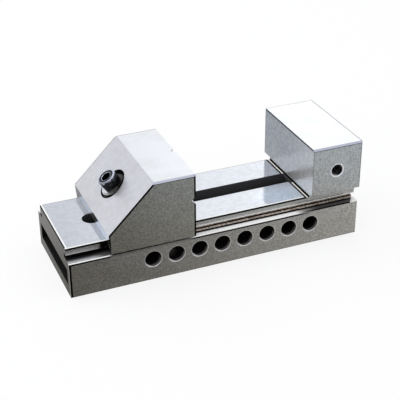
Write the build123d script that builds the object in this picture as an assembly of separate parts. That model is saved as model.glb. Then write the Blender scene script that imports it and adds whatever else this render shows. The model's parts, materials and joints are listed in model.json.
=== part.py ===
from build123d import *
import math
import os

# Screwless grinding vise with 50 mm jaws, in millimetres.
# X runs along the bed, from the open tail end to the back of the fixed jaw, and Z is up.
# The origin is on the underside, at the middle of the overall length and width.

# Body: base, rail and fixed jaw, ground from one block
overall_length = 140.0
base_setback = 0.6
body_width = 50.0
ledge_height = 17.2
groove_height = 1.7
groove_depth = 2.7
rail_setback = 4.4
rail_head_height = 3.4
jaw_height = 25.7
fixed_jaw_thickness = 24.7
foot_height = 1.9
top_chamfer = 0.8
edge_break = 0.25

# Corner relief between the bed and the fixed jaw
relief_before_face = 0.9
relief_behind_face = 1.0
relief_below_bed = 0.4

# Slot in the bed and the pull channel under it
slot_width = 8.8
slot_start = 13.8
channel_wall = 3.5
channel_floor = 4.8
channel_height = 7.6
channel_length = 121.5
channel_corner = 3.0

# Row of cross holes, whose upper halves are the notches for the pull bar
hole_count = 8
hole_diameter = 7.0
hole_pitch = 11.0
first_hole = 38.0
hole_height = 10.5
hole_chamfer = 0.5

# Tapped hole for a work stop in the near side of the fixed jaw, M6
stop_hole_diameter = 5.0
stop_hole_depth = 12.0
stop_hole_chamfer = 0.6
stop_hole_drop = 12.5

# Movable jaw
jaw_opening = 56.9
jaw_length = 40.2
slope_drop = 21.15
slope_run = 21.15
tail_lean = 0.9
skirt_gap = 0.4
slide_clearance = 0.05
v_mouth = 4.2
v_drop = 12.5

# Keeper strips that hook under the rail, with M1.6 countersunk screws
keeper_thickness = 1.2
keeper_reach = 2.3
keeper_outer_wall = 0.8
keeper_end_gap = 1.0
keeper_screw_count = 3
keeper_screw_pitch = 14.0
keeper_screw_setback = 1.8
keeper_screw_diameter = 1.6
keeper_screw_length = 5.0
keeper_head_diameter = 3.0
keeper_head_height = 0.8
keeper_screw_clearance = 0.05

# Clamp screw, M5 socket head cap screw
screw_diameter = 5.0
screw_angle = 56.5
screw_past_bar = 1.2
screw_head_diameter = 8.5
screw_head_height = 5.0
socket_width = 4.0
socket_depth = 2.5
head_chamfer = 0.4
tip_chamfer = 0.5

# Ball washer and its seat ring, in a round pocket in the slope
pocket_diameter = 14.4
seat_diameter = 12.0
seat_bore = 7.6
seat_height = 2.2
seat_land = 0.4
ball_radius = 9.0
ball_clearance = 0.08
washer_diameter = 11.0
washer_bore = 5.4
washer_thickness = 2.6
washer_rise = 0.2
rock_up = 6.0
rock_down = 8.0
rock_side_clearance = 0.3

# Pull bar: a tapped block in the slot with a round bar through the channel
bar_diameter = 6.5
bar_side_gap = 0.5
bar_floor_gap = 0.25
bar_chamfer = 0.5
block_length = 9.0
block_side_gap = 0.3
block_rise = 4.9
thread_clearance = 0.05

# Places that follow from the sizes above
left_end = -overall_length / 2
right_end = overall_length / 2
face_x = right_end - fixed_jaw_thickness
rail_width = body_width - 2 * rail_setback
channel_width = body_width - 2 * channel_wall
lip_height = ledge_height + groove_height
bed_height = lip_height + rail_head_height
top_height = bed_height + jaw_height
foot_top = bed_height + foot_height
channel_ceiling = channel_floor + channel_height
hole_xs = [left_end + first_hole + i * hole_pitch for i in range(hole_count)]

front_x = face_x - jaw_opening
tail_x = front_x - jaw_length
slope_foot_height = top_height - slope_drop
slope_top_x = tail_x + slope_run
skirt_bottom = ledge_height + skirt_gap
keeper_outer = body_width / 2 - keeper_outer_wall
keeper_screw_y = keeper_outer - keeper_screw_setback
keeper_top = skirt_bottom + keeper_thickness

# The screw runs from the middle of the slope, steeper than its normal, to the pull bar near the channel's floor
slope_middle = Vector(tail_x + slope_run / 2, 0, top_height - slope_drop / 2)
screw_down = Vector(math.cos(math.radians(screw_angle)), 0, -math.sin(math.radians(screw_angle)))
screw_up = screw_down * -1
bar_height = channel_floor + bar_floor_gap + bar_diameter / 2
bar_distance = (slope_middle.Z - bar_height) / screw_up.Z
bar_centre = slope_middle + screw_down * bar_distance
screw_length = bar_distance + washer_rise + screw_past_bar

# Stack in the pocket, measured up the screw's axis from the pocket's floor
ball_centre_height = seat_height + math.sqrt(ball_radius**2 - (seat_diameter / 2 - seat_land) ** 2)
washer_top = ball_centre_height - (ball_radius - ball_clearance) + washer_thickness
pocket_floor = slope_middle - screw_up * (washer_top - washer_rise)
ball_centre = pocket_floor + screw_up * ball_centre_height
pocket_plane = Plane(origin=pocket_floor, x_dir=(0, 1, 0), z_dir=screw_up)
on_base = (Align.CENTER, Align.CENTER, Align.MIN)


def across(profile, width):
    """Solid from an X-Z profile, centred on the middle of the width"""
    return extrude(Plane.XZ * profile, amount=width / 2, both=True)


def along(profile, start, end):
    """Solid from a Y-Z profile, from one place along the length to another"""
    return extrude(Plane.YZ.offset(start) * profile, amount=end - start)


def rectangle_between(low, high):
    """Rectangle from its lowest to its highest corner"""
    size = (high[0] - low[0], high[1] - low[1])
    middle = ((low[0] + high[0]) / 2, (low[1] + high[1]) / 2)
    return Pos(*middle) * Rectangle(*size)


def broken(profile, corners=lambda corner: True):
    """Profile with a small chamfer on the corners that stand out"""
    return chamfer(profile.vertices().filter_by(corners), edge_break)


def plan(start, end, width):
    """Upright prism over a rectangle with broken corners, as high as the vise"""
    outline = broken(rectangle_between((start, -width / 2), (end, width / 2)))
    return extrude(outline, amount=top_height)


def base():
    """Lower block that carries the rail"""
    section = broken(rectangle_between((-body_width / 2, 0), (body_width / 2, ledge_height)))
    block = along(section, left_end, right_end - base_setback)
    return block & plan(left_end, right_end - base_setback, body_width)


def rail():
    """Neck and overhanging head of the rail; its top is the bed"""
    neck = rail_width / 2 - groove_depth
    head = rail_width / 2
    half = Polyline(
        (0, ledge_height), (neck, ledge_height), (neck, lip_height),
        (head, lip_height), (head, bed_height), (0, bed_height),
    )
    section = make_face((half + mirror(half, Plane.YZ)).edges())
    section = broken(section, lambda corner: abs(corner.X) > neck + groove_depth / 2)
    return along(section, left_end, right_end) & plan(left_end, right_end, rail_width)


def fixed_jaw():
    """Full-width jaw that overhangs the rail, on a foot as wide as the rail"""
    low = (-body_width / 2, foot_top)
    section = rectangle_between(low, (body_width / 2, top_height))
    section = chamfer(section.vertices().group_by(Axis.Y)[-1], top_chamfer)
    section = broken(section, lambda corner: corner.Y < foot_top + edge_break)
    block = along(section, face_x, right_end) & plan(face_x, right_end, body_width)
    foot_start = bed_height - rail_head_height / 2
    foot_section = rectangle_between((-rail_width / 2, foot_start), (rail_width / 2, foot_top))
    foot = along(foot_section, face_x, right_end) & plan(face_x - top_chamfer, right_end, rail_width)
    return block + foot


def bed_slot():
    """Slot for the screw, with a round end at the tail and a square one under the fixed jaw"""
    start = left_end + slot_start + slot_width / 2
    end = face_x + relief_behind_face
    outline = rectangle_between((start, -slot_width / 2), (end, slot_width / 2))
    outline += Pos(start, 0) * Circle(slot_width / 2)
    return Pos(0, 0, channel_floor + channel_height / 2) * extrude(outline, amount=bed_height)


def pull_channel():
    """Wide flat channel under the bed, open at the tail end"""
    low = (left_end - slot_width, -channel_width / 2)
    outline = rectangle_between(low, (left_end + channel_length, channel_width / 2))
    outline = fillet(outline.vertices().group_by(Axis.X)[-1], channel_corner)
    return Pos(0, 0, channel_floor) * extrude(outline, amount=channel_height)


def cross_hole():
    """Hole through the whole width, with a chamfer at each mouth"""
    radius = hole_diameter / 2
    mouth = Cone(radius, radius + hole_chamfer, hole_chamfer, align=(Align.CENTER, Align.CENTER, Align.MAX))
    bore = Cylinder(radius, body_width) + Pos(0, 0, body_width / 2) * mouth
    bore += Rot(180, 0, 0) * (Pos(0, 0, body_width / 2) * mouth)
    return Rot(90, 0, 0) * bore


def stop_hole():
    """Tapped blind hole with a chamfered mouth, drawn with its mouth at the origin"""
    radius = stop_hole_diameter / 2
    inward = (Align.CENTER, Align.CENTER, Align.MAX)
    bore = Cylinder(radius, stop_hole_depth, align=inward)
    drill_point = Cone(0, radius, radius * math.tan(math.radians(30)), align=inward)
    mouth = Cone(radius, radius + stop_hole_chamfer, stop_hole_chamfer, align=inward)
    return bore + mouth + Pos(0, 0, -stop_hole_depth) * drill_point


def vise_body():
    """Base, rail and fixed jaw in one piece"""
    body = base() + rail() - bed_slot() - pull_channel()
    body -= [Pos(x, 0, hole_height) * cross_hole() for x in hole_xs]
    body += fixed_jaw()
    relief = rectangle_between(
        (face_x - relief_before_face, bed_height - relief_below_bed), (face_x + relief_behind_face, foot_top)
    )
    body -= across(relief, body_width + top_chamfer)
    near_face = Plane(
        origin=(face_x + fixed_jaw_thickness / 2, -body_width / 2, top_height - stop_hole_drop),
        x_dir=(1, 0, 0), z_dir=(0, -1, 0),
    )
    return body - near_face * stop_hole()


def keeper_rows():
    """Places of the keeper screws along one strip"""
    middle = (tail_x + tail_lean + front_x) / 2
    first = middle - keeper_screw_pitch * (keeper_screw_count - 1) / 2
    return [first + i * keeper_screw_pitch for i in range(keeper_screw_count)]


def jaw_outline():
    """Side view of the movable jaw: sloped back, flat top, upright clamping face"""
    corners = [
        (tail_x + tail_lean, skirt_bottom), (tail_x, slope_foot_height), (slope_top_x, top_height),
        (front_x, top_height), (front_x, skirt_bottom),
    ]
    return make_face(Polyline(*corners, close=True).edges())


def jaw_section():
    """End view of the movable jaw: chamfered top, skirts, room for the rail and the keepers"""
    section = rectangle_between((-body_width / 2, skirt_bottom), (body_width / 2, top_height))
    section = chamfer(section.vertices().group_by(Axis.Y)[-1], top_chamfer)
    rail_half = rail_width / 2 + slide_clearance
    section -= rectangle_between((-rail_half, 0), (rail_half, bed_height))
    section -= rectangle_between((-keeper_outer, 0), (keeper_outer, keeper_top))
    return section


def rocking_slot():
    """Wedge-shaped passage in which the screw rocks about the centre of its ball washer"""
    radius = screw_diameter / 2 + rock_side_clearance
    reach = (ball_centre.Z - bed_height) / math.sin(math.radians(screw_angle - rock_down)) + radius
    passage = Part()
    ends = []
    for angle in (screw_angle + rock_up, screw_angle - rock_down):
        away = Vector(math.cos(math.radians(angle)), 0, -math.sin(math.radians(angle)))
        ends.append(ball_centre + away * reach)
        passage += Plane(origin=ball_centre, x_dir=(0, 1, 0), z_dir=away) * Cylinder(radius, reach, align=on_base)
    wedge = Polyline(*[(p.X, p.Z) for p in (ball_centre, *ends)], close=True)
    return passage + across(make_face(wedge.edges()), 2 * radius)


def clamping_grooves():
    """Upright and level V grooves in the clamping face, for round work"""
    depth = v_mouth / 2
    upright = Polyline((front_x, -depth), (front_x - depth, 0), (front_x, depth), close=True)
    groove = Pos(0, 0, bed_height) * extrude(make_face(upright.edges()), amount=jaw_height)
    height = top_height - v_drop
    level = Polyline((front_x, height - depth), (front_x - depth, height), (front_x, height + depth), close=True)
    return groove + across(make_face(level.edges()), body_width)


def keeper_screw_holes(radius, depth, start):
    """Upright holes at all the keeper screws, on both sides"""
    hole = Cylinder(radius, depth, align=on_base)
    return [Pos(x, side * keeper_screw_y, start) * hole for x in keeper_rows() for side in (-1, 1)]


def movable_jaw():
    """Jaw that straddles the rail and slides on the bed"""
    jaw = across(jaw_outline(), body_width) & along(jaw_section(), tail_x, front_x)
    jaw &= plan(tail_x, front_x, body_width)
    pocket = pocket_plane * Cylinder(pocket_diameter / 2, jaw_height, align=on_base)
    jaw -= pocket
    jaw -= rocking_slot()
    jaw -= clamping_grooves()
    tapped = keeper_screw_diameter / 2 + keeper_screw_clearance
    jaw -= keeper_screw_holes(tapped, keeper_screw_length, skirt_bottom)
    return jaw


def keeper_strip(side):
    """Strip let into the skirt's underside; its inner edge hooks under the rail"""
    inner = rail_width / 2 - keeper_reach
    start = tail_x + tail_lean + keeper_end_gap
    end = front_x - keeper_end_gap
    low, high = sorted((side * inner, side * keeper_outer))
    outline = broken(rectangle_between((start, low), (end, high)))
    strip = Pos(0, 0, skirt_bottom) * extrude(outline, amount=keeper_thickness)
    clearance = keeper_screw_clearance
    strip -= keeper_screw_holes(keeper_screw_diameter / 2 + clearance, keeper_thickness, skirt_bottom)
    sink = Cone(
        keeper_head_diameter / 2 + clearance, keeper_screw_diameter / 2 + clearance, keeper_head_height + clearance,
        align=on_base,
    )
    return strip - [Pos(x, side * keeper_screw_y, skirt_bottom) * sink for x in keeper_rows()]


def keeper_screws():
    """Countersunk screws of both strips, as one set"""
    radius = keeper_screw_diameter / 2
    head = Cone(keeper_head_diameter / 2, radius, keeper_head_height, align=on_base)
    screw = head + Cylinder(radius, keeper_screw_length, align=on_base)
    places = [Pos(x, side * keeper_screw_y, skirt_bottom) for side in (-1, 1) for x in keeper_rows()]
    return Compound(children=[place * screw for place in places])


def seat_ring():
    """Ring on the pocket's floor with a hollow ball seat on top"""
    ring = Cylinder(seat_diameter / 2, seat_height, align=on_base)
    ring -= Cylinder(seat_bore / 2, seat_height, align=on_base)
    return pocket_plane * (ring - Pos(0, 0, ball_centre_height) * Sphere(ball_radius))


def ball_washer():
    """Washer with a domed underside that rocks in the seat ring"""
    dome = Pos(0, 0, ball_centre_height) * Sphere(ball_radius - ball_clearance)
    washer = dome & Cylinder(washer_diameter / 2, washer_top, align=on_base)
    return pocket_plane * (washer - Cylinder(washer_bore / 2, washer_top, align=on_base))


def clamp_screw():
    """Socket head cap screw, with its head on the ball washer"""
    head = Cylinder(screw_head_diameter / 2, screw_head_height, align=on_base)
    head = chamfer(head.edges().group_by(Axis.Z)[-1], head_chamfer)
    socket = RegularPolygon(socket_width / 2, 6, major_radius=False)
    head -= Pos(0, 0, screw_head_height - socket_depth) * extrude(socket, amount=socket_depth)
    shank = Cylinder(screw_diameter / 2, screw_length, align=(Align.CENTER, Align.CENTER, Align.MAX))
    shank = chamfer(shank.edges().group_by(Axis.Z)[0], tip_chamfer)
    return pocket_plane * (Pos(0, 0, washer_top) * (head + shank))


def pull_bar():
    """Round bar with a tapped block at its middle; the bar's ends seat in a pair of notches"""
    radius = bar_diameter / 2
    bar = Cylinder(radius, channel_width - 2 * bar_side_gap)
    bar = Rot(90, 0, 0) * chamfer(bar.edges().filter_by(GeomType.CIRCLE), bar_chamfer)
    side = broken(rectangle_between((-block_length / 2, -radius), (block_length / 2, block_rise)))
    bar += across(side, slot_width - 2 * block_side_gap)
    thread = Cylinder(screw_diameter / 2 + thread_clearance, screw_length)
    tilt = Plane(origin=(0, 0, 0), x_dir=(0, 1, 0), z_dir=screw_up)
    return Pos(bar_centre) * (bar - tilt * thread)


parts = {
    "vise_body": vise_body(),
    "movable_jaw": movable_jaw(),
    "keeper_strip_near": keeper_strip(-1),
    "keeper_strip_far": keeper_strip(1),
    "keeper_screws": keeper_screws(),
    "seat_ring": seat_ring(),
    "ball_washer": ball_washer(),
    "clamp_screw": clamp_screw(),
    "pull_bar": pull_bar(),
}

os.makedirs("parts", exist_ok=True)
for name, shape in parts.items():
    export_step(shape, f"parts/{name}.step")

print(f"ball centre {ball_centre}, bar centre {bar_centre}, screw length {screw_length:.2f}")
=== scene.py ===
import json
import math

import bpy
from mathutils import Matrix, Vector


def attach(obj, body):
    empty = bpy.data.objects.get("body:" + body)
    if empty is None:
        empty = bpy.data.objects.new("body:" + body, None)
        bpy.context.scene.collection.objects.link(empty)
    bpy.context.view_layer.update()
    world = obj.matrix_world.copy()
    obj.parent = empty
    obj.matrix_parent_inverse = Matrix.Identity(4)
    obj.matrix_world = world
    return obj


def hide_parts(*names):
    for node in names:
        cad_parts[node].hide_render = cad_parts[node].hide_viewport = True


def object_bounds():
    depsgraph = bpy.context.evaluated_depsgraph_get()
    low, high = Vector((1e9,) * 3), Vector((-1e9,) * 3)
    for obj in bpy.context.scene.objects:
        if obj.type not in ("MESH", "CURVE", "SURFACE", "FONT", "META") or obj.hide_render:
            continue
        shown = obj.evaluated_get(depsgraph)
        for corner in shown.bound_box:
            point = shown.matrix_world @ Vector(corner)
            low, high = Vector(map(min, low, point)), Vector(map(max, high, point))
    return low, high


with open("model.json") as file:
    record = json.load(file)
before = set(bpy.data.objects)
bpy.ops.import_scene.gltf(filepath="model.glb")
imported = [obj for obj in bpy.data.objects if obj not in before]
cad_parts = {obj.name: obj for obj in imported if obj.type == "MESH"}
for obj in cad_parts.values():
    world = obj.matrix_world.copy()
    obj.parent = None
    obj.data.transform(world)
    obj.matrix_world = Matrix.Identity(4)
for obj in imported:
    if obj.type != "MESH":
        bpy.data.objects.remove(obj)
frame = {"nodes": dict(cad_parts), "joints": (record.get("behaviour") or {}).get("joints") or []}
cad_box = [[float(v) for v in corner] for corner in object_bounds()]
scene = bpy.context.scene
scene.view_settings.view_transform = "Standard"
MM = 0.001

# Camera: the photograph looks down on the near side from the open tail end.
# Its place comes from a fit to the vise's straight edges, and its small shift from where the vise
# sits in the frame.

camera_place = (-0.16092, -0.39178, 0.25995)
camera_turn = (61.1781, 0.5784, -22.2533)
camera_lens = 94.81
camera_shift = (0.01857, -0.03279)

camera = bpy.data.objects.new("camera", bpy.data.cameras.new("camera"))
scene.collection.objects.link(camera)
camera.location = camera_place
camera.rotation_euler = [math.radians(angle) for angle in camera_turn]
camera.data.sensor_width = 36
camera.data.lens = camera_lens
camera.data.shift_x, camera.data.shift_y = camera_shift
camera.data.clip_start = 0.01
scene.camera = camera

# Vise body: base, rail and fixed jaw, ground from one block of hardened tool steel and lapped on top.
# The wheel leaves fine lines; the edges carry painted dark reflections and painted highlights, and the
# holes and hollows are painted dark as shade. The ledges beside the rail are matt and painted light,
# with a painted lit streak and painted shade in the grooves, and painted shade at the fixed jaw's end.


class Value:
    """A socket that can be used in an expression, in which | takes the larger of two"""

    def __init__(self, tree, socket):
        self.tree = tree
        self.socket = socket

    def __add__(self, other):
        return maths("ADD", self, other)

    def __radd__(self, other):
        return maths("ADD", other, self)

    def __sub__(self, other):
        return maths("SUBTRACT", self, other)

    def __rsub__(self, other):
        return maths("SUBTRACT", other, self)

    def __mul__(self, other):
        return maths("MULTIPLY", self, other)

    def __rmul__(self, other):
        return maths("MULTIPLY", other, self)

    def __truediv__(self, other):
        return maths("DIVIDE", self, other)

    def __gt__(self, other):
        return maths("GREATER_THAN", self, other)

    def __lt__(self, other):
        return maths("LESS_THAN", self, other)

    def __or__(self, other):
        return maths("MAXIMUM", self, other)

    def __abs__(self):
        return maths("ABSOLUTE", self)


def node(tree, kind, settings, inputs, output=0):
    """New node, with its settings made first and its sockets filled or linked; gives one output"""
    made = tree.nodes.new(kind)
    for name, setting in settings.items():
        setattr(made, name, setting)
    for name, filling in inputs.items():
        socket = made.inputs[name]
        if isinstance(filling, Value):
            tree.links.new(filling.socket, socket)
        else:
            socket.default_value = filling
    return Value(tree, made.outputs[output])


def maths(operation, first, second=0.0):
    """One Math node on two values, of which one may be a number"""
    tree = first.tree if isinstance(first, Value) else second.tree
    return node(tree, "ShaderNodeMath", {"operation": operation}, {0: first, 1: second})


def vectors(operation, first, second=(0, 0, 0)):
    """One Vector Math node; gives a vector, or a number for a length"""
    output = "Value" if operation == "LENGTH" else "Vector"
    settings = {"operation": operation}
    return node(first.tree, "ShaderNodeVectorMath", settings, {0: first, 1: second}, output)


def xyz(vector):
    """The three parts of a vector"""
    split = node(vector.tree, "ShaderNodeSeparateXYZ", {}, {"Vector": vector}).socket.node
    return [Value(vector.tree, part) for part in split.outputs]


def between(value, low, high):
    """Value in the range 0 to 1, smoothly rising from low to high"""
    limits = {"Value": value, "From Min": low, "From Max": high}
    return node(value.tree, "ShaderNodeMapRange", {"interpolation_type": "SMOOTHSTEP"}, limits)


def rising(value, low, high):
    """Value in the range 0 to 1, smoothly rising from low to high in millimetres"""
    return between(value, low * MM, high * MM)


def within(value, low, high):
    """1 from low to high in millimetres, and 0 elsewhere"""
    return (value > low * MM) * (value < high * MM)


def near(value, place, below=0.1, above=0.1):
    """1 from a little below a place to a little above it in millimetres, and 0 elsewhere"""
    return within(value, place - below, place + above)


# Places of the Mix node's colour sockets, which share their names with its other sockets
mix_first, mix_second, mix_result = 6, 7, 2


def blend(mask, first, second, kind="MIX"):
    """Colour between two colours, by a mask"""
    colours = [colour if isinstance(colour, Value) else (*colour, 1) for colour in (first, second)]
    return node(mask.tree, "ShaderNodeMix", {"data_type": "RGBA", "blend_type": kind}, {
        "Factor": mask, mix_first: colours[0], mix_second: colours[1],
    }, mix_result)


def streaks(tree, place, scale, detail=3.0):
    """Noise stretched by its scale per metre along each axis"""
    stretched = node(tree, "ShaderNodeMapping", {}, {"Vector": place, "Scale": scale})
    return node(tree, "ShaderNodeTexNoise", {}, {"Vector": stretched, "Scale": 1.0, "Detail": detail})


film_scale = (70, 90, 110)
grain_colour = (0.45, 0.45, 0.45)
relief_strength = 0.35


class Metal:
    """A metal material: its tree, and the place and normal on the part in Object coordinates"""

    def __init__(self, name, colour, film_colour):
        self.material = bpy.data.materials.new(name)
        self.material.use_nodes = True
        self.tree = self.material.node_tree
        self.place = node(self.tree, "ShaderNodeTexCoord", {}, {}, "Object")
        self.x, self.y, self.z = xyz(self.place)
        self.facing = xyz(node(self.tree, "ShaderNodeTexCoord", {}, {}, "Normal"))
        self.film = between(streaks(self.tree, self.place, film_scale, 4.0), 0.42, 0.68)
        self.colour = blend(self.film, colour, film_colour)
        self.metallic = 1.0 - 0.04 * self.film
        self.roughness = 0.3 + 0.05 * self.film

    def coat(self, mask, colour, roughness, metallic):
        """Another colour and finish where the mask is 1, also used for painted light and shade"""
        self.colour = blend(mask, self.colour, colour)
        self.roughness = self.roughness + mask * (roughness - self.roughness)
        self.metallic = self.metallic + mask * (metallic - self.metallic)

    def speckle(self, scale, amount):
        """Fine darker grains"""
        grains = 1 - between(streaks(self.tree, self.place, (scale, scale, scale), 2.0), 0.35, 0.65)
        self.colour = blend(amount * grains, self.colour, grain_colour, "MULTIPLY")

    def onto(self, parts, height, depth):
        """Link the finish to the shader with its fine relief, and put it on CAD pieces"""
        relief = node(self.tree, "ShaderNodeBump", {}, {
            "Height": height, "Strength": relief_strength, "Distance": depth,
        })
        finish = {
            "Base Color": self.colour, "Roughness": self.roughness, "Metallic": self.metallic,
            "Normal": relief,
        }
        for name, value in finish.items():
            self.tree.links.new(value.socket, self.tree.nodes["Principled BSDF"].inputs[name])
        for part in parts:
            slots = frame["nodes"][part].data.materials
            slots.clear()
            slots.append(self.material)


lapped_roughness = 0.10
ground_roughness = 0.26
wheel_line_depth = 0.006 * MM
stretch_scale = 60
line_scale = 3200


def grind(metal):
    """Wheel lines along X on tops and sides, and across on faces that look along X; gives the lines"""
    end_face = abs(metal.facing[0]) > 0.6
    top_face = abs(metal.facing[2]) > 0.8
    lengthwise = streaks(metal.tree, metal.place, (stretch_scale, line_scale, line_scale))
    crosswise = streaks(metal.tree, metal.place, (line_scale, stretch_scale, line_scale))
    lines = lengthwise * (1 - end_face) + crosswise * end_face
    metal.roughness = ground_roughness + (lapped_roughness - ground_roughness) * top_face
    metal.roughness = metal.roughness + 0.10 * (lines - 0.5) + 0.05 * metal.film
    return lines


fine_grain = 1900
satin_grain = 600
broad_grain = 420
side_grain_amount = 0.65

# Places on the body in millimetres, as the masks below take them
half_length, half_width, jaw_top = [reach / MM for reach in cad_box[1]]
ledge_height = 17.2
groove_top = 18.9
bed_height = 22.3
foot_top = 24.2
groove_half_width = 17.9
rail_half_width = 20.6
base_end_x = 69.4
jaw_face_x = 45.3
relief_floor = 21.9
relief_start_x = 44.4
relief_end_x = 46.3
slot_half_width = 4.4
slot_start_x = -56.2
channel_top = 12.4
moved_jaw_tail_x = -51.8
moved_jaw_front_x = -11.6
first_hole_x = -32.0
hole_pitch = 11.0
hole_count = 8
hole_height = 10.5
hole_radius = 3.5
stop_mouth = (57.65, -25.0, 35.5)
stop_wall_radius = 2.5

ground_colour = (0.74, 0.745, 0.755)
ground_film_colour = (0.69, 0.69, 0.69)
bed_colour = (0.60, 0.61, 0.64)
painted_bed_sheen_colour = (0.80, 0.86, 0.91)
satin_colour = (0.63, 0.63, 0.62)
matt_painted_light_colour = (0.90, 0.90, 0.88)
painted_half_shade_colour = (0.30, 0.29, 0.27)
painted_ledge_shade_colour = (0.10, 0.095, 0.09)
painted_groove_light_colour = (0.95, 0.84, 0.74)
painted_groove_speckle_colour = (0.38, 0.32, 0.27)
painted_black_shade_colour = (0.010, 0.009, 0.010)
painted_chamfer_sheen_colour = (0.60, 0.62, 0.70)
painted_grey_rim_colour = (0.30, 0.30, 0.30)
painted_relief_light_colour = (0.95, 0.94, 0.90)
painted_stop_rim_highlight_colour = (0.90, 0.90, 0.97)
painted_hole_rim_highlight_colour = (0.86, 0.85, 0.84)
painted_hole_wall_light_colour = (0.11, 0.10, 0.09)
painted_slot_shade_colour = (0.11, 0.11, 0.115)
painted_hollow_shade_colour = (0.024, 0.022, 0.020)

body = Metal("body_ground_steel", ground_colour, ground_film_colour)
body_lines = grind(body)
body.speckle(fine_grain, side_grain_amount * (1 - (abs(body.facing[2]) > 0.8)))
side = abs(body.y)
outer = near(side, half_width)

# The fixed jaw's face is satin towards its near foot, and the bed's near half beside it has a painted
# bright, bluish reflection
jaw_face = near(body.x, jaw_face_x) * (body.z > (foot_top + 0.1) * MM)
near_half = 1 - rising(body.y, -half_width, 4)
foot_half = 1 - rising(body.z, 25, 38)
body.roughness = body.roughness - 0.12 * jaw_face
body.coat(jaw_face * (0.24 + 0.28 * near_half + 0.14 * foot_half), satin_colour, 0.3, 0.0)
body.speckle(satin_grain, 0.32 * jaw_face)
bed = near(body.z, bed_height)
# Painted reflection: a brighter, bluer patch on the bed's near half towards the fixed jaw
painted_bed_sheen = rising(body.x, 20, 30) * (1 - rising(body.y, -12, -4))
body.coat(bed * 0.7, bed_colour, 0.12, 1.0)
body.coat(bed * painted_bed_sheen * 0.8, painted_bed_sheen_colour, 0.12, 1.0)
body.speckle(broad_grain, 0.14 * bed)

# The ledge is matt and painted light, with painted shade towards the fixed jaw, at the movable jaw's tail
# and in its corner towards the tail; the groove's lip has a painted highlight
ledge = near(body.z, ledge_height, 0.2, 0.3) * within(side, rail_half_width + 0.05, half_width + 0.1)
rail_side = within(body.z, groove_top, bed_height - 0.25) * near(side, rail_half_width, 0.05)
lip_edge = near(body.z, groove_top, 0.05, 0.6) * near(side, rail_half_width, 0.4)
towards_tail = 1 - rising(body.x, -48, -16)
behind_jaw = 1 - rising(body.x, -51, -38)
ledge_corner = 1 - rising(side, 21.4, 23.8)
# Painted light on the ledge, fading towards the tail, and painted shade on it towards the fixed jaw
body.coat(ledge * (0.35 + 0.65 * rising(body.x, -52, -20)), matt_painted_light_colour, 0.55, 0.15)
body.coat(ledge * rising(body.x, 37, 43), painted_half_shade_colour, 0.55, 0.3)
body.coat(ledge * rising(body.x, 42, 50), painted_ledge_shade_colour, 0.5, 0.4)
# Painted highlight along the groove's lip, weaker towards the tail
body.coat(lip_edge * (1 - 0.7 * towards_tail), matt_painted_light_colour, 0.5, 0.2)
# Painted shade in the ledge's corner towards the tail, and painted shadow beside the movable jaw's tail
body.coat(ledge * towards_tail * ledge_corner * 0.95, painted_black_shade_colour, 0.6, 0.9)
body.coat(ledge * rising(body.x, -60, -53) * behind_jaw * 0.9, painted_ledge_shade_colour, 0.45, 0.6)
body.coat(rail_side * rising(body.x, -56, -54) * behind_jaw, painted_black_shade_colour, 0.5, 1.0)

# Edges painted dark: painted reflection of the dark side of the room, and painted shade beside the jaws
before_jaw_front = 1 - rising(body.x, moved_jaw_front_x - 3.9, moved_jaw_front_x - 0.2)
under_jaw = rising(body.x, moved_jaw_tail_x - 1.2, moved_jaw_tail_x + 1.8) * before_jaw_front
before_jaw_shade = 1 - rising(body.x, 38, 48)
painted_lit_end = body.x + 0.7 * side > 83.0 * MM
base_corner = near(side, half_width, 0.3)
bed_edge = near(body.z, bed_height, 0.85, -0.05) * near(side, rail_half_width, 0.3)
bed_edge = bed_edge * (body.x < (jaw_face_x + 0.2) * MM)
base_edge = near(body.z, ledge_height, 1.1, -0.35) * outer * (1 - 0.7 * under_jaw) * before_jaw_shade
# Painted shade on the ledge's outer edge before the fixed jaw, stopping at the painted lit end
painted_ledge_edge_shade = near(body.z, ledge_height, 0.4) * near(side, half_width, 0.7)
painted_ledge_edge_shade = painted_ledge_edge_shade * (1 - painted_lit_end) * (1 - before_jaw_shade)
jaw_seat_edge = near(body.z, ledge_height, 0.3) * base_corner
jaw_seat_edge = jaw_seat_edge * within(body.x, moved_jaw_tail_x + 0.2, moved_jaw_front_x - 0.4)
tail_edge = near(body.x, -half_length, 0.1, 0.9) * base_corner * within(body.z, 0.2, 17.0)
bed_end = near(body.x, -half_length, 0.1, 0.35) * near(body.z, bed_height, 0.7, 0.08)
dark_edges = bed_edge | base_edge | painted_ledge_edge_shade | jaw_seat_edge | tail_edge | bed_end
body.coat(dark_edges, painted_black_shade_colour, 0.5, 1.0)
foot_edge = near(body.z, 0, 0.1, 0.45) * (outer | (body.x < (0.2 - half_length) * MM))
jaw_end = near(body.x, half_length, 0.5) * outer * (body.z > (bed_height + 0.2) * MM)
chamfer_line = near(body.z, jaw_top, 1.15, -0.78) * outer
face_edge = near(body.x, jaw_face_x, 0.1, 0.2) * near(body.z, jaw_top, 0.9, -0.2)
far_corner = near(body.x, -half_length, 0.1, 0.2) * near(body.y, half_width, 0.9) * (body.z < 16 * MM)
faint_edges = (foot_edge | jaw_end | chamfer_line | far_corner) * 0.6
body.coat(face_edge * 0.9 | faint_edges, painted_black_shade_colour, 0.5, 1.0)

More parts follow.
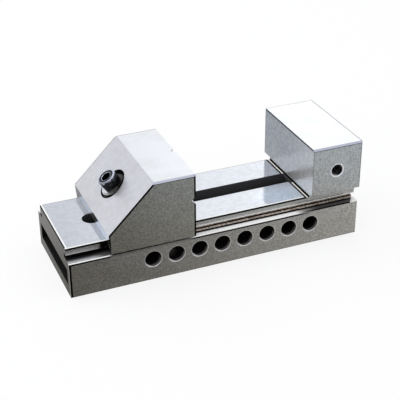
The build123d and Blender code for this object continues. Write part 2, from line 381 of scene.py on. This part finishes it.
# Painted highlights on the chamfers and near rims, and a painted dark outline on the far rims and the
# fixed jaw's end
top_chamfer = near(body.z, jaw_top, 0.78, -0.05) * near(side, half_width, 0.9)
body.coat(top_chamfer * 0.8, painted_chamfer_sheen_colour, 0.35, 0.9)
top_rim = near(body.z, jaw_top, 0.2) * (near(body.y, half_width, 1.25) | near(body.x, half_length, 0.6))
bed_rim = bed * (body.y > (rail_half_width - 0.6) * MM)
body.coat((top_rim | bed_rim) * 0.85, painted_grey_rim_colour, 0.3, 0.9)
bed_rims = near(body.y, -rail_half_width, -0.2, 0.9) | near(body.x, -half_length, -0.35, 1.0)
bright_edge = near(body.z, bed_height, 0.1, 0.15) * bed_rims
tail_corner = near(body.x, -half_length) * near(body.y, -half_width, -0.25, 1.0)
base_rim = near(body.z, ledge_height, 0.35) * near(side, half_width, 0.4) * (1 - under_jaw)
base_rim = base_rim * (1 - rising(body.x, 28, 40))
bright_rims = bright_edge * 0.9 | tail_corner * 0.5 | ledge * painted_lit_end | base_rim
body.coat(bright_rims, matt_painted_light_colour, 0.4, 0.2)

# Corner relief before the fixed jaw: painted light on its floor and foot, and painted shade between them
relief = within(body.x, relief_start_x - 0.55, relief_end_x + 0.1)
relief = relief * within(body.z, relief_floor - 0.1, foot_top - 0.05)
painted_relief_light = within(body.x, 45.05, 45.75) * near(body.z, relief_floor) | (body.z > 22.8 * MM)
body.coat(relief * painted_relief_light, painted_relief_light_colour, 0.6, 0.0)

# Before the movable jaw: a brown speckled streak painted light inside the groove's shade, on the groove
# and the foot of the ledge, between painted shadow lines
groove = within(side, groove_half_width - 0.2, rail_half_width + 0.04)
groove = groove * within(body.z, ledge_height - 0.1, groove_top + 0.05)
painted_groove_zone = (groove | ledge) * rising(body.x, -20, -12) * (1 - painted_lit_end)
painted_groove_light = painted_groove_zone * within(side, groove_half_width - 0.2, rail_half_width + 0.8)
groove_speckle_scale = (1300, 900, 900)
groove_speckle_grain = between(streaks(body.tree, body.place, groove_speckle_scale, 2.0), 0.40, 0.60)
groove_line = within(side, 18.5, 19.6)
ledge_line = rising(side, 20.9, 21.1) * (1 - rising(side, 22.2, 22.9))
body.coat(painted_groove_light, painted_groove_light_colour, 0.6, 0.1)
body.coat(painted_groove_light * groove_speckle_grain, painted_groove_speckle_colour, 0.6, 0.1)
body.coat(painted_groove_zone * (groove_line | ledge_line), painted_black_shade_colour, 0.6, 0.9)

# Round holes: a polished rim with a painted bright highlight ring, painted shade in the mouths, a painted
# highlight on their lower side, and a painted patch of light on the wall where the light falls in
from_stop = vectors("SUBTRACT", body.place, Vector(stop_mouth) * MM)
stop_distance = vectors("LENGTH", vectors("MULTIPLY", from_stop, (1, 0, 1)))
from_stop_x, from_stop_y, from_stop_z = xyz(from_stop)
stop_rim = within(stop_distance, stop_wall_radius + 0.3, stop_wall_radius + 1.0) * (from_stop_y < 0.7 * MM)
stop_hole = (stop_distance < (stop_wall_radius + 0.3) * MM) * (from_stop_y < 15 * MM)
stop_lower_side = rising(-0.7 * from_stop_x - 0.7 * from_stop_z, 1.0, 2.0)
stop_chamfer = stop_hole * (stop_distance > (stop_wall_radius - 0.15) * MM) * stop_lower_side
body.coat(stop_rim * 0.7, painted_stop_rim_highlight_colour, 0.4, 0.2)
hole_turn = (body.x - first_hole_x * MM) / (hole_pitch * MM) + 0.5
from_hole_x = hole_pitch * MM * (maths("FRACT", hole_turn) - 0.5)
from_hole_z = body.z - hole_height * MM
from_hole = node(body.tree, "ShaderNodeCombineXYZ", {}, {"X": from_hole_x, "Z": from_hole_z})
hole_distance = vectors("LENGTH", from_hole)
hole_row = within(body.x, first_hole_x - 5, first_hole_x + (hole_count - 1) * hole_pitch + 5)
at_mouths = (side > (half_width - 0.7) * MM) * hole_row
lower_tail_side = rising(-0.6 * from_hole_x - 0.8 * from_hole_z, 3.1, 3.7)
lower_head_side = rising(0.6 * from_hole_x - 0.8 * from_hole_z, 1.7, 2.7)
hole_wall = near(side, half_width, 1.5, -0.1) * hole_row * near(hole_distance, hole_radius, 0.2, 0.2)
body.coat(at_mouths * (hole_distance < (hole_radius + 0.3) * MM), painted_hollow_shade_colour, 0.7, 0.9)
body.coat(at_mouths * near(hole_distance, hole_radius, -0.3, 0.7) * 0.42, painted_hole_rim_highlight_colour, 0.4, 0.3)
bright_mouths = at_mouths * near(hole_distance, hole_radius, 0.1, 0.6) * lower_tail_side
body.coat(bright_mouths * 0.5, matt_painted_light_colour, 0.5, 0.2)

# Painted shade in the slot, channel, holes, the grooves' tail end and the relief, with a painted lit
# crescent in the stop hole's chamfer and a painted patch of light on the cross holes' walls
slot = (side < (slot_half_width + 0.3) * MM) * within(body.z, channel_top - 0.1, bed_height - 0.05)
slot = slot * within(body.x, slot_start_x - 0.8, relief_end_x + 0.2)
inside = (side < (half_width - 0.55) * MM) * within(body.z, 0.3, ledge_height - 0.1)
inside = inside * within(body.x, 0.3 - half_length, base_end_x - 0.2)
groove_tail = groove * (1 - rising(body.x, -52, -12))
body.coat(slot, painted_slot_shade_colour, 0.5, 0.5)
body.coat(inside | groove_tail | relief * (1 - painted_relief_light) | stop_hole, painted_hollow_shade_colour, 0.75, 0.95)
body.coat(stop_chamfer * 0.9, painted_grey_rim_colour, 0.5, 0.0)
body.coat(hole_wall * lower_head_side * 0.9, painted_hole_wall_light_colour, 0.6, 0.0)
body.onto(["vise_body"], body_lines, wheel_line_depth)

# Stop hole thread: the M6 thread cut in the hole in the near side of the fixed jaw.
# It is a helix one millimetre to the turn, and its crests stand a little inside the drilled wall.

stop_thread_pitch = 1.0 * MM
stop_thread_length = 10.6 * MM
stop_thread_start = 0.9 * MM
stop_thread_stand = 0.26 * MM
stop_thread_points = 40
stop_ridge_points = 6


def new_tree(name, sizes):
    """Geometry tree with a named input for each size; gives the tree and its inputs as values"""
    tree = bpy.data.node_groups.new(name, "GeometryNodeTree")
    for title, kind in sizes.items():
        tree.interface.new_socket(title, in_out="INPUT", socket_type="NodeSocket" + kind)
    tree.interface.new_socket("Geometry", in_out="OUTPUT", socket_type="NodeSocketGeometry")
    given = tree.nodes.new("NodeGroupInput")
    return tree, {title: Value(tree, given.outputs[title]) for title in sizes}


def end_tree(tree, shape, material):
    """Last nodes of a geometry tree: real mesh, its material, and the output"""
    real = node(tree, "GeometryNodeRealizeInstances", {}, {"Geometry": shape})
    painted = node(tree, "GeometryNodeSetMaterial", {}, {"Geometry": real, "Material": material})
    tree.links.new(painted.socket, tree.nodes.new("NodeGroupOutput").inputs[0])


def grown(name, tree, sizes, material, start=None):
    """Plain mesh object from a geometry tree, with its modifier gone"""
    seed = bpy.data.objects.new(name + "_seed", start or bpy.data.meshes.new(name + "_seed"))
    scene.collection.objects.link(seed)
    modifier = seed.modifiers.new(name, "NODES")
    modifier.node_group = tree
    fillings = {**sizes, "Material": material}
    for item in tree.interface.items_tree:
        if item.item_type == "SOCKET" and item.in_out == "INPUT" and item.name in fillings:
            modifier[item.identifier] = fillings[item.name]
    ready = seed.evaluated_get(bpy.context.evaluated_depsgraph_get())
    mesh = bpy.data.meshes.new_from_object(ready)
    mesh.name = name
    mesh.materials.clear()
    mesh.materials.append(material)
    bpy.data.objects.remove(seed)
    made = bpy.data.objects.new(name, mesh)
    scene.collection.objects.link(made)
    return made


thread_tree, size = new_tree("stop_hole_thread", {
    "Radius": "Float", "Pitch": "Float", "Length": "Float", "Stand": "Float", "Material": "Material",
})
helix = node(thread_tree, "GeometryNodeCurveSpiral", {}, {
    "Resolution": stop_thread_points, "Rotations": size["Length"] / size["Pitch"],
    "Start Radius": size["Radius"], "End Radius": size["Radius"], "Height": size["Length"],
})
ridge = node(thread_tree, "GeometryNodeCurvePrimitiveCircle", {"mode": "RADIUS"}, {
    "Resolution": stop_ridge_points, "Radius": size["Stand"],
})
swept = node(thread_tree, "GeometryNodeCurveToMesh", {}, {
    "Curve": helix, "Profile Curve": ridge, "Fill Caps": True,
})
end_tree(thread_tree, swept, size["Material"])

cut_colour = (0.075, 0.072, 0.070)
cut_dark_colour = (0.035, 0.032, 0.030)
cut_grain_scale = (2500, 2500, 2500)
cut_grain_depth = 0.01 * MM

cut = Metal("cut_thread_steel", cut_colour, cut_dark_colour)
cut.onto([], streaks(cut.tree, cut.place, cut_grain_scale), cut_grain_depth)

stop_thread = grown("stop_hole_thread", thread_tree, {
    "Radius": stop_wall_radius * MM, "Pitch": stop_thread_pitch, "Length": stop_thread_length,
    "Stand": stop_thread_stand,
}, cut.material)
thread_start = Vector(stop_mouth) * MM + Vector((0, stop_thread_start, 0))
into_hole = Matrix.Translation(thread_start) @ Matrix.Rotation(-math.pi / 2, 4, "X")
stop_thread.data.transform(into_hole)
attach(stop_thread, "base")

# Movable jaw: a second ground block, with a 45 degree back and two V grooves in its clamping face.
# Its sides are a little duller, its slope is satin, and its round recess and underside are painted dark as
# shade. Its edges carry painted dark lines, its chamfers and V notch painted highlights, and its far rims
# a painted dark outline.
# The two keeper strips under its skirts are ground from the same steel.

slope_foot = 26.85
slope_end_x = -30.65
recess_radius = 7.4
jaw_side_colour = (0.64, 0.635, 0.60)
satin_slope_colour = (0.50, 0.49, 0.53)

screw_joint = next(joint for joint in frame["joints"] if joint["name"] == "screw_turn")
ball_centre = Vector(screw_joint["pos_m"])
screw_down = Vector(screw_joint["axis"]).normalized()
screw_tilt = math.atan2(-screw_down.x, -screw_down.z)

jaw = Metal("jaw_ground_steel", ground_colour, ground_film_colour)
jaw_lines = grind(jaw)
jaw_side = abs(jaw.y)
jaw_outer = jaw_side > (half_width - 0.1) * MM
jaw.coat((abs(jaw.facing[1]) > 0.9) * 0.8, jaw_side_colour, 0.26, 1.0)
jaw.speckle(fine_grain, side_grain_amount * (1 - (abs(jaw.facing[2]) > 0.6)))
above_slope = jaw.z - jaw.x - (slope_foot - moved_jaw_tail_x) * MM
on_slope_length = jaw.x < (slope_end_x + 0.15) * MM
slope = (abs(jaw.facing[2]) > 0.6) * on_slope_length
jaw.coat(slope * (0.21 + 0.40 * rising(jaw.z, 30, 50)), satin_slope_colour, 0.5, 0.1)
jaw.speckle(broad_grain, 0.12 * slope)
off_axis = vectors("CROSS_PRODUCT", vectors("SUBTRACT", jaw.place, ball_centre), screw_down)
recess = (vectors("LENGTH", off_axis) < recess_radius * MM) * (above_slope < -0.15 * MM)
underneath = within(jaw.z, ledge_height - 0.2, slope_foot - 0.05) * (jaw_side < (half_width - 0.3) * MM)
underneath = underneath * within(jaw.x, moved_jaw_tail_x + 1.8, moved_jaw_front_x - 0.9)
# Painted shade in the round recess and under the skirts
jaw.coat(recess | underneath, painted_hollow_shade_colour, 0.5, 0.5)
# Painted dark edge lines
slope_edge = (above_slope > -1.25 * MM) * (jaw.z > (slope_foot - 0.65) * MM) * on_slope_length
jaw_tail_edge = (jaw.x < (moved_jaw_tail_x + 0.8) * MM) * (jaw.z < (slope_foot + 0.15) * MM)
front_edge = near(jaw_side, half_width, 0.5) * (jaw.x > (moved_jaw_front_x - 0.9) * MM)
jaw_chamfer_line = jaw_outer * near(jaw.z, jaw_top, 1.15, -0.78)
jaw_edges = jaw_outer * (slope_edge | jaw_tail_edge) | front_edge | jaw_chamfer_line * 0.6
jaw.coat(jaw_edges, painted_black_shade_colour, 0.5, 1.0)
# Painted highlight on the near chamfers
jaw_chamfer = near(jaw.z, jaw_top, 0.78, -0.05) * near(jaw_side, half_width, 0.9)
jaw.coat(jaw_chamfer * 0.8, painted_chamfer_sheen_colour, 0.35, 0.9)
# Painted dark outline on the far rims
far_top_rim = near(jaw.z, jaw_top, 0.2) * (jaw.y > (half_width - 1.25) * MM)
far_rims = far_top_rim | slope_edge * (jaw.y > (half_width - 0.45) * MM)
jaw.coat(far_rims * 0.85, painted_grey_rim_colour, 0.3, 0.9)
# Painted highlight on the V notch's walls, towards the top
notch_wall = (jaw_side < 2.2 * MM) * (jaw.x > (moved_jaw_front_x - 2.2) * MM) * (abs(jaw.facing[1]) > 0.3)
jaw.coat(notch_wall * rising(jaw.z, 42, jaw_top), matt_painted_light_colour, 0.5, 0.2)
jaw.onto(["movable_jaw", "keeper_strip_near", "keeper_strip_far"], jaw_lines, wheel_line_depth)

# Seat ring and ball washer: small turned and hardened rings in the round recess of the slope.
# Turning leaves fine rings round the screw's axis, and a painted shadow of the screw head darkens all but
# one side.

ring_colour = (0.72, 0.72, 0.71)
ring_film_colour = (0.56, 0.55, 0.53)
ring_painted_shadow_colour = (0.13, 0.12, 0.11)
painted_deep_shadow_colour = (0.03, 0.028, 0.026)
turning_scale = 5200.0
turning_depth = 0.008 * MM


def round_axis(metal, centre, turn):
    """Distance from the Z axis of a shifted and turned frame, height along it, and place along its X"""
    shifted = vectors("SUBTRACT", metal.place, centre)
    own = node(metal.tree, "ShaderNodeMapping", {}, {"Vector": shifted, "Rotation": turn})
    parts = xyz(own)
    return vectors("LENGTH", vectors("MULTIPLY", own, (1, 1, 0))), parts[2], parts[0]


def turned(name, colour, film_colour, painted_shadow_colour, parts, centre, turn):
    """Turned steel on parts: fine rings round an axis, with painted shadow over all but one side"""
    metal = Metal(name, colour, film_colour)
    radius, height, sideways = round_axis(metal, centre, turn)
    rings = node(metal.tree, "ShaderNodeTexNoise", {"noise_dimensions": "1D"}, {
        "W": radius + height, "Scale": turning_scale, "Detail": 2.0,
    })
    metal.roughness = 0.16 + 0.14 * rings + 0.08 * metal.film
    # Painted shadow, deepest on one side of the axis
    painted_shadow = rising(sideways + 0.6 * MM * (metal.film - 0.5), -3.4, -1.8)
    metal.coat(painted_shadow * 0.9, painted_shadow_colour, 0.4, 0.7)
    metal.coat(rising(sideways, 0.0, 2.0) * 0.9, painted_deep_shadow_colour, 0.4, 0.9)
    metal.onto(parts, rings, turning_depth)


into_axis = (0, -screw_tilt, 0)
turned("seat_turned_steel", ring_colour, ring_film_colour, ring_painted_shadow_colour,
       ["seat_ring", "ball_washer"], ball_centre, into_axis)

# Pull bar: a turned round bar across the channel, with a milled block at its middle that takes the
# screw's thread. It is hidden under the bed, and painted dark all over as shade in the channel.

bar_colour = (0.10, 0.097, 0.094)
bar_film_colour = (0.06, 0.058, 0.056)
bar_painted_shade_colour = (0.05, 0.048, 0.045)
bar_centre = (-21.95 * MM, 0, 8.3 * MM)
along_bar = (math.pi / 2, 0, 0)

turned("bar_turned_steel", bar_colour, bar_film_colour, bar_painted_shade_colour,
       ["pull_bar"], bar_centre, along_bar)

# Clamp screw: an M5 socket head cap screw with a black oxide skin, worn bright on its top rim and knurl
# crests, where a bluish highlight is painted as well.
# The head is knurled, its hexagon socket is broached, and the thread is rolled.

head_radius = 4.25 * MM
head_height = 5.0 * MM
head_chamfer = 0.4 * MM
head_foot_chamfer = 0.35 * MM
head_foot_height = 0.3 * MM
head_foot_step = 0.05 * MM
knurl_ridges = 36
knurl_depth = 0.16 * MM
knurl_from = 0.7 * MM
knurl_to = 3.9 * MM
knurl_run_out = 0.15 * MM
knurl_roundness = 0.7
socket_flats = 4.0 * MM
socket_mouth = 2.42 * MM
socket_lead = 0.22 * MM
socket_depth = 2.5 * MM
socket_cone_depth = 0.5 * MM
socket_point_radius = 0.6 * MM
socket_point_depth = 0.7 * MM
screw_radius = 2.5 * MM
screw_length = 36.33 * MM
screw_pitch = 0.8 * MM
thread_depth = 0.43 * MM
thread_crest = 0.3
plain_neck = 1.2 * MM
screw_tip = 0.5 * MM
seat_below_ball = 6.32 * MM


def skin_of(name, rings):
    """Mesh from rings of points that follow one another; a ring of one point closes an end"""
    points, faces, starts = [], [], []
    for ring in rings:
        starts.append(len(points))
        points.extend(ring)
    for k in range(len(rings) - 1):
        a, b = len(rings[k]), len(rings[k + 1])
        for i in range(max(a, b)):
            j = (i + 1) % max(a, b)
            if a == 1:
                faces.append((starts[k], starts[k + 1] + j, starts[k + 1] + i))
            elif b == 1:
                faces.append((starts[k] + i, starts[k] + j, starts[k + 1]))
            else:
                faces.append((starts[k] + i, starts[k] + j, starts[k + 1] + j, starts[k + 1] + i))
    mesh = bpy.data.meshes.new(name)
    mesh.from_pydata(points, [], faces)
    mesh.update()
    return mesh


def ring_at(height, radius, count):
    """Ring of points round Z, with a radius for each angle"""
    angles = [2 * math.pi * i / count for i in range(count)]
    return [(radius(a) * math.cos(a), radius(a) * math.sin(a), height) for a in angles]


def hexagon(flats):
    """Radius of a hexagon of that width across flats, at any angle"""
    return lambda a: flats / 2 / math.cos((a + math.pi / 6) % (math.pi / 3) - math.pi / 6)


def plain(radius):
    """The same radius at every angle"""
    return lambda a: radius


def around(tree):
    """Angle round Z, height, and distance from Z of each point, and the point itself"""
    point = node(tree, "GeometryNodeInputPosition", {}, {})
    x, y, z = xyz(point)
    return maths("ARCTAN2", y, x), z, vectors("LENGTH", vectors("MULTIPLY", point, (1, 1, 0))), point


def sunk(tree, shape, point, from_axis, depth):
    """Shape with each point moved towards Z by a depth"""
    kept = (from_axis - depth) / from_axis
    factors = node(tree, "ShaderNodeCombineXYZ", {}, {"X": kept, "Y": kept, "Z": 1.0})
    moved = vectors("MULTIPLY", point, factors)
    return node(tree, "GeometryNodeSetPosition", {}, {"Geometry": shape, "Position": moved})


def ramp(value, low, high):
    """Value in the range 0 to 1, rising evenly from low to high"""
    return node(value.tree, "ShaderNodeMapRange", {}, {"Value": value, "From Min": low, "From Max": high})


knurl_tree, size = new_tree("knurled_head", {
    "Geometry": "Geometry", "Inner": "Float", "Ridges": "Int", "Depth": "Float", "From": "Float",
    "To": "Float", "Run Out": "Float", "Material": "Material",
})
angle, height, from_axis, point = around(knurl_tree)
wave = 0.5 - 0.5 * maths("COSINE", size["Ridges"] * angle)
valley = maths("POWER", wave, knurl_roundness)
run_in = ramp(height, size["From"], size["From"] + size["Run Out"])
run_out = ramp(height, size["To"] + size["Run Out"], size["To"])
on_wall = run_in * run_out * (from_axis > size["Inner"])
knurled = sunk(knurl_tree, size["Geometry"], point, from_axis, size["Depth"] * valley * on_wall)
end_tree(knurl_tree, knurled, size["Material"])

rolled_tree, size = new_tree("rolled_thread", {
    "Geometry": "Geometry", "Pitch": "Float", "Depth": "Float", "Crest": "Float", "From": "Float",
    "To": "Float", "Run Out": "Float", "Material": "Material",
})
angle, height, from_axis, point = around(rolled_tree)
turned_by = height / size["Pitch"] - angle / (2 * math.pi)
flank = ramp(2.0 * maths("PINGPONG", turned_by, 0.5), 0.0, 1.0 - size["Crest"])
run_in = ramp(height, size["From"], size["From"] + size["Run Out"])
run_out = ramp(height, size["To"], size["To"] - size["Run Out"])
cut_depth = size["Depth"] * (1 - flank) * (run_in * run_out)
threaded = sunk(rolled_tree, size["Geometry"], point, from_axis, cut_depth)
end_tree(rolled_tree, threaded, size["Material"])

head_points = 288
head_rings = [
    [(0, 0, 0)],
    ring_at(0, plain(head_radius - head_foot_chamfer), head_points),
    ring_at(head_foot_height, plain(head_radius - head_foot_step), head_points),
    ring_at(knurl_from, plain(head_radius - head_foot_step), head_points),
    ring_at(knurl_from + knurl_run_out, plain(head_radius), head_points),
    ring_at(knurl_to, plain(head_radius), head_points),
    ring_at(knurl_to + knurl_run_out, plain(head_radius), head_points),
    ring_at(head_height - head_chamfer, plain(head_radius), head_points),
    ring_at(head_height, plain(head_radius - head_chamfer), head_points),
    ring_at(head_height, plain(socket_mouth), head_points),
    ring_at(head_height - socket_lead, hexagon(socket_flats), head_points),
    ring_at(head_height - socket_depth, hexagon(socket_flats), head_points),
    ring_at(head_height - socket_depth - socket_cone_depth, plain(socket_point_radius), head_points),
    [(0, 0, head_height - socket_depth - socket_point_depth)],
]
shank_points = 48
shank_rows_per_turn = 10
shank_rows = int(screw_length / screw_pitch * shank_rows_per_turn)
tip_ring = ring_at(-screw_length, plain(screw_radius - screw_tip), shank_points)
shank_rings = [[(0, 0, -screw_length)], tip_ring]
for row in range(shank_rows):
    height = -screw_length + screw_tip + (screw_length - screw_tip) * row / (shank_rows - 1)
    shank_rings.append(ring_at(height, plain(screw_radius), shank_points))
shank_rings.append([(0, 0, 0)])

oxide_colour = (0.022, 0.022, 0.025)
oxide_film_colour = (0.040, 0.039, 0.040)
oxide_worn_and_sheen_colour = (0.58, 0.61, 0.68)
oxide_grain_scale = (900, 900, 900)
oxide_grain_depth = 0.02 * MM

oxide = Metal("black_oxide", oxide_colour, oxide_film_colour)
oxide_grain = streaks(oxide.tree, oxide.place, oxide_grain_scale, 5.0)
from_axis, height = round_axis(oxide, ball_centre, into_axis)[:2]
from_top = height - (head_height - seat_below_ball)
from_wall = from_axis - head_radius
rim = rising(from_top, -0.55, -0.25) * rising(from_wall, -1.0, -0.5)
lead = rising(from_top, -0.16, -0.06) * (from_axis < socket_mouth + 0.05 * MM)
# Wear and a painted bluish highlight on the knurl crests, the top rim and the socket's lead
crests = rising(from_wall, -0.09, 0.0) * rising(from_top, -4.6, 0.0)
oxide.coat(crests * between(oxide_grain, 0.35, 0.65) * 0.9, oxide_worn_and_sheen_colour, 0.35, 1.0)
oxide.coat(between((rim | lead) * 0.8 + oxide_grain * 0.4, 0.62, 1.1), oxide_worn_and_sheen_colour, 0.3, 1.0)
oxide.roughness = 0.28 + 0.16 * oxide_grain
oxide.onto([], oxide_grain, oxide_grain_depth)

screw_head = grown("clamp_screw_head", knurl_tree, {
    "Inner": head_radius - 0.1 * MM, "Ridges": knurl_ridges, "Depth": knurl_depth, "From": knurl_from,
    "To": knurl_to, "Run Out": knurl_run_out,
}, oxide.material, skin_of("clamp_screw_head_blank", head_rings))
screw_shank = grown("clamp_screw_shank", rolled_tree, {
    "Pitch": screw_pitch, "Depth": thread_depth, "Crest": thread_crest, "From": -screw_length,
    "To": -plain_neck, "Run Out": screw_pitch,
}, oxide.material, skin_of("clamp_screw_shank_blank", shank_rings))
head_seat = ball_centre + screw_down * seat_below_ball
into_jaw = Matrix.Translation(head_seat) @ Matrix.Rotation(screw_tilt, 4, "Y")
for piece in (screw_head, screw_shank):
    piece.data.transform(into_jaw)
    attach(piece, "screw")
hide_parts("clamp_screw")
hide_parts("clamp_screw")

# Keeper screws: six small countersunk screws with the same black skin and rolled threads.
# They hold the keeper strips to the jaw's skirts from below, three in a row on each side.

keeper_head_radius = 1.5 * MM
keeper_head_height = 0.8 * MM
keeper_radius = 0.8 * MM
keeper_length = 5.0 * MM
keeper_pitch = 0.35 * MM
keeper_thread_depth = 0.2 * MM
keeper_socket_flats = 0.9 * MM
keeper_socket_depth = 0.5 * MM
keeper_socket_point = 0.1 * MM
keeper_first = Vector((-45.25, -22.4, 17.6)) * MM
keeper_spacing = 14.0 * MM
keeper_row_count = 3
keeper_side_gap = 44.8 * MM

keeper_points = 24
keeper_rows_per_turn = 8
keeper_shank_length = keeper_length - keeper_head_height
keeper_rings = [
    [(0, 0, keeper_socket_depth + keeper_socket_point)],
    ring_at(keeper_socket_depth, hexagon(keeper_socket_flats), keeper_points),
    ring_at(0, hexagon(keeper_socket_flats), keeper_points),
    ring_at(0, plain(keeper_head_radius), keeper_points),
]
keeper_rows = int(keeper_shank_length / keeper_pitch * keeper_rows_per_turn)
for row in range(keeper_rows + 1):
    height = keeper_head_height + keeper_shank_length * row / keeper_rows
    keeper_rings.append(ring_at(height, plain(keeper_radius), keeper_points))
keeper_rings.append([(0, 0, keeper_length)])
keeper_screw = grown("keeper_screw", rolled_tree, {
    "Pitch": keeper_pitch, "Depth": keeper_thread_depth, "Crest": 0.0, "From": keeper_head_height,
    "To": keeper_length, "Run Out": keeper_pitch,
}, oxide.material, skin_of("keeper_screw_blank", keeper_rings))
keeper_mesh = keeper_screw.data
bpy.data.objects.remove(keeper_screw)

places_tree, size = new_tree("keeper_screw_places", {
    "Geometry": "Geometry", "First": "Vector", "Spacing": "Float", "Count": "Int", "Side Gap": "Float",
    "Material": "Material",
})
row_step = node(places_tree, "ShaderNodeCombineXYZ", {}, {"X": size["Spacing"]})
near_row = node(places_tree, "GeometryNodeMeshLine", {"mode": "OFFSET"}, {
    "Count": size["Count"], "Start Location": size["First"], "Offset": row_step,
})
side_step = node(places_tree, "ShaderNodeCombineXYZ", {}, {"Y": size["Side Gap"]})
far_row = node(places_tree, "GeometryNodeTransform", {}, {"Geometry": near_row, "Translation": side_step})
copies = []
for screw_row in (near_row, far_row):
    copies.append(node(places_tree, "GeometryNodeInstanceOnPoints", {}, {
        "Points": screw_row, "Instance": size["Geometry"],
    }))
all_screws = node(places_tree, "GeometryNodeJoinGeometry", {}, {"Geometry": copies[0]})
places_tree.links.new(copies[1].socket, all_screws.socket.node.inputs["Geometry"])
end_tree(places_tree, all_screws, size["Material"])

keeper_screws = grown("keeper_screw_set", places_tree, {
    "First": keeper_first, "Spacing": keeper_spacing, "Count": keeper_row_count,
    "Side Gap": keeper_side_gap,
}, oxide.material, keeper_mesh)
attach(keeper_screws, "jaw")
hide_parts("keeper_screws")

# Studio: a plain pale table under soft light from above, behind and the sides.
# The camera sees it white with a faint shadow, and the steel mirrors it as a grey table that is darker
# at the tail, in a room with a bright back wall.

floor_reach = 3.0
floor_drop = 0.05 * MM
table_colour = (0.85, 0.85, 0.86)
table_whiteness = 0.8
table_front_colour = (0.56, 0.60, 0.62)
table_beside_vise_colour = (0.515, 0.495, 0.455)
table_front_tail_colour = (0.137, 0.127, 0.108)
table_back_tail_colour = (0.32, 0.31, 0.30)
table_back_colour = (0.45, 0.50, 0.575)

floor_mesh = bpy.data.meshes.new("studio_floor")
corners = [(x * floor_reach, y * floor_reach, 0) for x, y in ((-1, -1), (1, -1), (1, 1), (-1, 1))]
floor_mesh.from_pydata(corners, [], [(0, 1, 2, 3)])
floor = bpy.data.objects.new("studio_floor", floor_mesh)
floor.location.z = -floor_drop
scene.collection.objects.link(floor)


def by_ray(tree, lit, white, mirrored, whiteness=1.0):
    """Shader with one look for light that spreads, one for the camera and one for mirrored light"""
    is_camera = node(tree, "ShaderNodeLightPath", {}, {}, "Is Camera Ray")
    is_glossy = node(tree, "ShaderNodeLightPath", {}, {}, "Is Glossy Ray")
    seen = node(tree, "ShaderNodeMixShader", {}, {0: is_camera * whiteness, 1: lit, 2: white})
    return node(tree, "ShaderNodeMixShader", {}, {0: is_glossy, 1: seen, 2: mirrored})


table = bpy.data.materials.new("studio_table")
table.use_nodes = True
table_nodes = table.node_tree
table_nodes.nodes.clear()
along, across = xyz(node(table_nodes, "ShaderNodeTexCoord", {}, {}, "Object"))[:2]
near_head = blend(rising(across, -90, -40), table_front_colour, table_beside_vise_colour)
front_shade = blend(rising(along, -90, 120), table_front_tail_colour, near_head)
back_shade = blend(rising(along, -90, 0), table_back_tail_colour, table_back_colour)
mirrored = blend(rising(across, -30, 60), front_shade, back_shade)
plain_table = node(table_nodes, "ShaderNodeBsdfDiffuse", {}, {"Color": (*table_colour, 1)})
white_table = node(table_nodes, "ShaderNodeEmission", {}, {"Color": (1, 1, 1, 1)})
mirror_table = node(table_nodes, "ShaderNodeEmission", {}, {"Color": mirrored})
table_shader = by_ray(table_nodes, plain_table, white_table, mirror_table, table_whiteness)
table_end = table_nodes.nodes.new("ShaderNodeOutputMaterial")
table_nodes.links.new(table_shader.socket, table_end.inputs["Surface"])
floor_mesh.materials.append(table)

room_colour = (0.95, 0.955, 0.97)
front_low_colour = (0.16, 0.16, 0.16)
front_high_colour = (0.78, 0.80, 0.90)
back_low_colour = (0.87, 0.88, 0.91)
back_high_colour = (1.02, 1.14, 1.34)
back_middle_colour = (0.80, 0.83, 0.89)
back_head_colour = (1.38, 1.41, 1.46)

world = bpy.data.worlds.new("studio")
scene.world = world
world.use_nodes = True
sky = world.node_tree
sky.nodes.clear()
along, across, up = xyz(node(sky, "ShaderNodeTexCoord", {}, {}, "Generated"))
head_back = blend(between(along, 0.1, 0.45), back_middle_colour, back_head_colour)
tail_back = blend(between(up, 0.38, 0.50), back_low_colour, back_high_colour)
back_wall = blend(between(along, -0.2, 0.1), tail_back, head_back)
front_wall = blend(between(up, 0.0, 0.8), front_low_colour, front_high_colour)
mirrored_room = blend(between(across, -0.35, 0.35), front_wall, back_wall)
room_light = node(sky, "ShaderNodeBackground", {}, {"Color": (*room_colour, 1)})
white_room = node(sky, "ShaderNodeBackground", {}, {"Color": (1, 1, 1, 1)})
mirror_room = node(sky, "ShaderNodeBackground", {}, {"Color": mirrored_room})
room_shader = by_ray(sky, room_light, white_room, mirror_room)
sky.links.new(room_shader.socket, sky.nodes.new("ShaderNodeOutputWorld").inputs["Surface"])

softbox_size = (0.9, 0.7)
softbox_power = 2.0
softbox_place = Vector((-0.25, 0.25, 0.7))

softbox = bpy.data.lights.new("softbox", "AREA")
softbox.shape = "RECTANGLE"
softbox.size, softbox.size_y = softbox_size
softbox.energy = softbox_power
softbox_stand = bpy.data.objects.new("softbox", softbox)
softbox_stand.location = softbox_place
softbox_stand.rotation_euler = (-softbox_place).to_track_quat("-Z", "Y").to_euler()
scene.collection.objects.link(softbox_stand)
